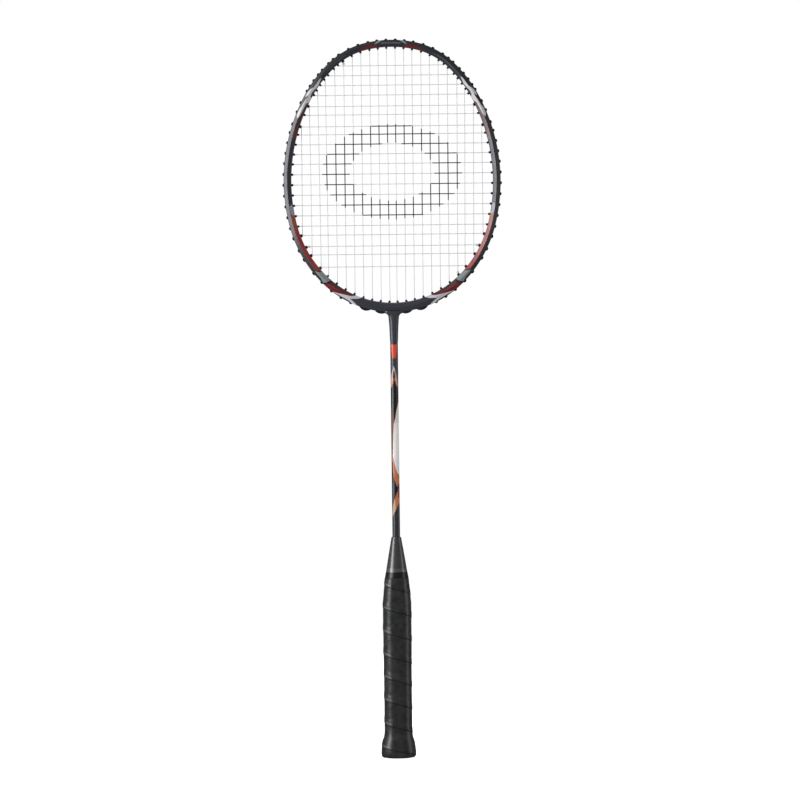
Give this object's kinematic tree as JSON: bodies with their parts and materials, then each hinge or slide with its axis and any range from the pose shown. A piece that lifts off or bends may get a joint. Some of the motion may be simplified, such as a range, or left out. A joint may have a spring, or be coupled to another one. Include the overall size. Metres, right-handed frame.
{
  "type": "badminton racket",
  "caption": "Strung badminton racket: oval hollow head with a woven string bed, slim round shaft, conical collar and an octagonal wrapped handle with a flared butt.",
  "frame": {"origin": "centre of the flat butt end of the handle", "axes": "+Z from the butt up the shaft to the top of the head, +X to the right in the plane of the strings, Y normal to the strings"},
  "size_m": [0.2066, 0.0298, 0.6762],
  "materials": {
    "frame_paint": "gloss lacquer over carbon fibre, with red, orange, silver and white graphics",
    "shaft_paint": "gloss lacquer over carbon fibre, with coloured graphics",
    "insert_metal": "machined",
    "cone_plastic": "satin metallic grey",
    "tape_black": "satin finishing tape",
    "handle_wood": "sanded",
    "butt_plastic": "satin black",
    "grip_black": "tacky polyurethane cushion tape",
    "grommet_nylon": "moulded black nylon",
    "string_white": "braided multifilament nylon"
  },
  "bodies": {
    "root": {"head_frame": "frame_paint", "throat": "frame_paint", "joint_insert": "insert_metal", "shaft": "shaft_paint", "cone_cap": "cone_plastic", "cone_tape": "tape_black", "handle_core": "handle_wood", "butt_plate": "butt_plastic", "grip_wrap": "grip_black", "crown_grommet_strip": "grommet_nylon", "throat_grommet_strip_left": "grommet_nylon", "throat_grommet_strip_right": "grommet_nylon", "main_grommets_left": "grommet_nylon", "main_grommets_right": "grommet_nylon", "cross_grommets_left": "grommet_nylon", "cross_grommets_right": "grommet_nylon", "shared_grommets_left": "grommet_nylon", "shared_grommets_right": "grommet_nylon", "tie_off_grommets": "grommet_nylon", "main_string": "string_white", "cross_string": "string_white", "string_knots": "string_white"}
  },
  "joints": []
}
